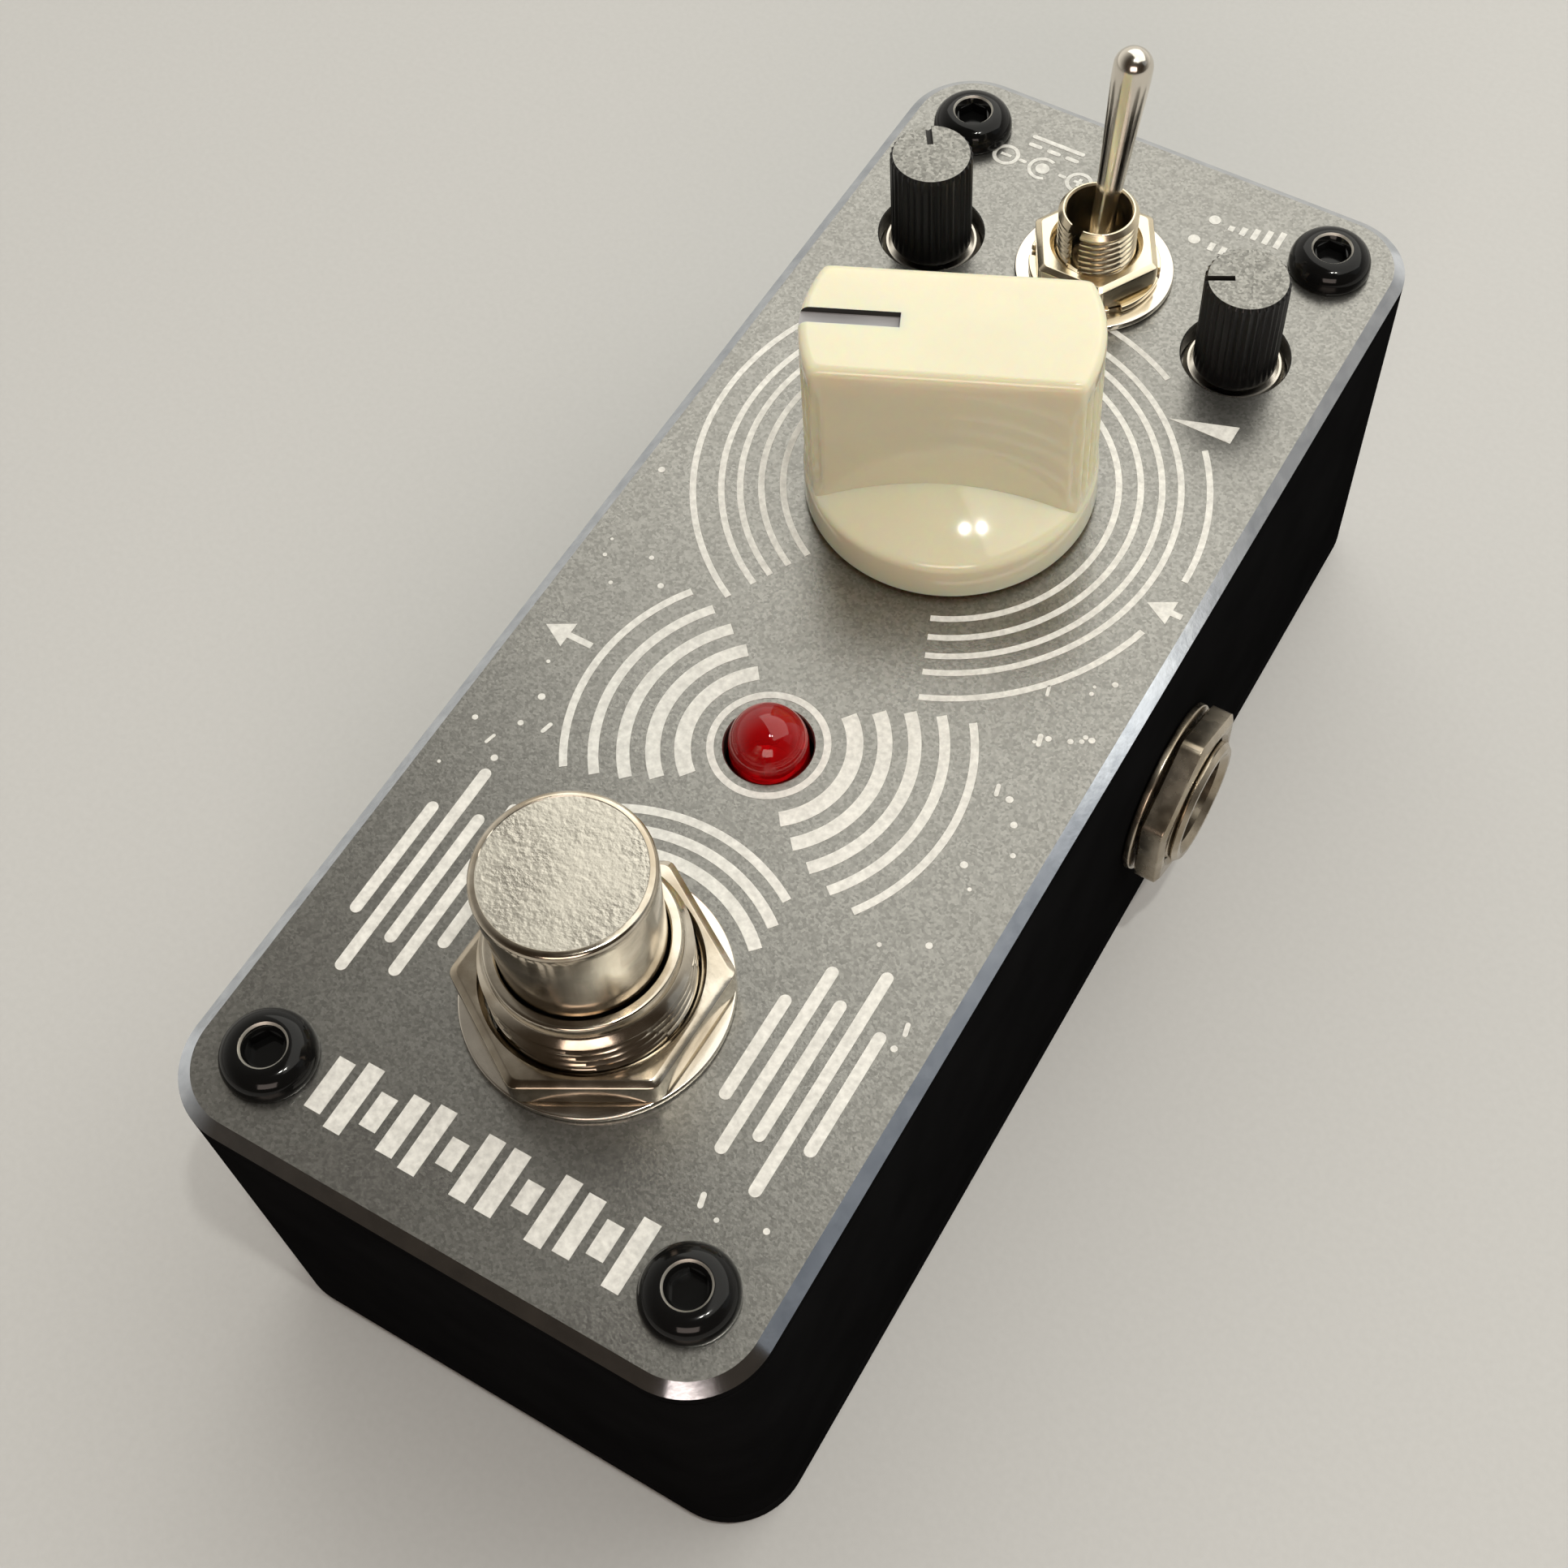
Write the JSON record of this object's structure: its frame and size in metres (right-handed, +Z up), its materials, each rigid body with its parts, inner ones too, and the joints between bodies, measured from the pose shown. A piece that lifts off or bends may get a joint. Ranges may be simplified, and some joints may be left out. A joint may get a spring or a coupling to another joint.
{
  "type": "guitar effect pedal",
  "caption": "Slim stompbox with a foot switch, one large and two small rotary controls, a toggle switch, a red lamp, side jacks and a rear power socket.",
  "frame": {"origin": "centre of the footprint, at the level of the floor under the rubber feet", "axes": "+X the player's right, where the input jack is; +Y to the rear, where the DC socket is; +Z up through the top plate"},
  "size_m": [0.0444, 0.093, 0.0478],
  "materials": {
    "case_black": "matt black coated extrusion",
    "plate_black": "black anodised, bead blasted, bright cut chamfer, pale laser marks",
    "screw_black": "black oxide",
    "nickel": "bright nickel plate",
    "steel": "plain steel",
    "knob_cream": "glossy cream",
    "knob_black": "matt black with a grained top",
    "rubber_black": "matt",
    "lamp_red": "clear red resin",
    "board_green": "circuit board",
    "plastic_black": "moulded",
    "sleeve_blue": "shrink sleeve",
    "ribbon_grey": "flat cable",
    "brass": "plain"
  },
  "bodies": {
    "case": {"enclosure": "case_black", "top_plate": "plate_black", "bottom_plate": "case_black", "top_screw_front_left": "screw_black", "top_screw_front_right": "screw_black", "top_screw_rear_left": "screw_black", "top_screw_rear_right": "screw_black", "bottom_screw_front_left": "screw_black", "bottom_screw_front_right": "screw_black", "bottom_screw_rear_left": "screw_black", "bottom_screw_rear_right": "screw_black", "rubber_foot_front_left": "rubber_black", "rubber_foot_front_right": "rubber_black", "rubber_foot_rear_left": "rubber_black", "rubber_foot_rear_right": "rubber_black", "main_board": "board_green", "switch_board": "board_green", "ribbon_cable": "ribbon_grey", "amplifier_chip": "plastic_black", "capacitor_front": "sleeve_blue", "capacitor_rear": "sleeve_blue", "main_pot_body": "steel", "main_pot_washer": "nickel", "main_pot_nut": "nickel", "left_pot_body": "steel", "right_pot_body": "steel", "toggle_body": "plastic_black", "toggle_bush": "nickel", "toggle_flat_washer": "nickel", "toggle_lock_washer": "nickel", "toggle_nut": "nickel", "led_lamp": "lamp_red", "footswitch_body": "plastic_black", "footswitch_bush": "nickel", "footswitch_lower_nut": "nickel", "footswitch_washer": "nickel", "footswitch_nut": "nickel", "footswitch_spring": "steel", "input_jack_housing": "plastic_black", "input_jack_contact": "brass", "input_jack_bush": "nickel", "input_jack_washer": "nickel", "input_jack_nut": "nickel", "output_jack_housing": "plastic_black", "output_jack_contact": "brass", "output_jack_bush": "nickel", "output_jack_washer": "nickel", "output_jack_nut": "nickel", "dc_socket_body": "plastic_black", "dc_socket_pin": "nickel"},
    "main_control": {"main_knob": "knob_cream", "main_pot_shaft": "steel"},
    "left_control": {"left_knob": "knob_black", "left_pot_shaft": "steel"},
    "right_control": {"right_knob": "knob_black", "right_pot_shaft": "steel"},
    "toggle": {"toggle_lever": "nickel"},
    "plunger": {"footswitch_cap": "nickel"}
  },
  "joints": [
    {"name": "main_knob_turn", "type": "hinge", "parent": "case", "child": "main_control", "pos_m": [0, 0.0126, 0.031], "axis": [0, 0, -1], "range_deg": [-36, 264]},
    {"name": "left_knob_turn", "type": "hinge", "parent": "case", "child": "left_control", "pos_m": [-0.0116, 0.031, 0.031], "axis": [0, 0, -1], "range_deg": [-116, 184]},
    {"name": "right_knob_turn", "type": "hinge", "parent": "case", "child": "right_control", "pos_m": [0.0116, 0.031, 0.031], "axis": [0, 0, -1], "range_deg": [-32, 268]},
    {"name": "toggle_flip", "type": "hinge", "parent": "case", "child": "toggle", "pos_m": [0, 0.033, 0.0319], "axis": [1, 0, 0], "range_deg": [0, 26.4]},
    {"name": "footswitch_press", "type": "slide", "parent": "case", "child": "plunger", "axis": [0, 0, -1], "range_m": [0, 0.0022], "stiffness_N_per_m": 1000, "springref_m": -0.002, "deforming": ["footswitch_spring"]}
  ]
}
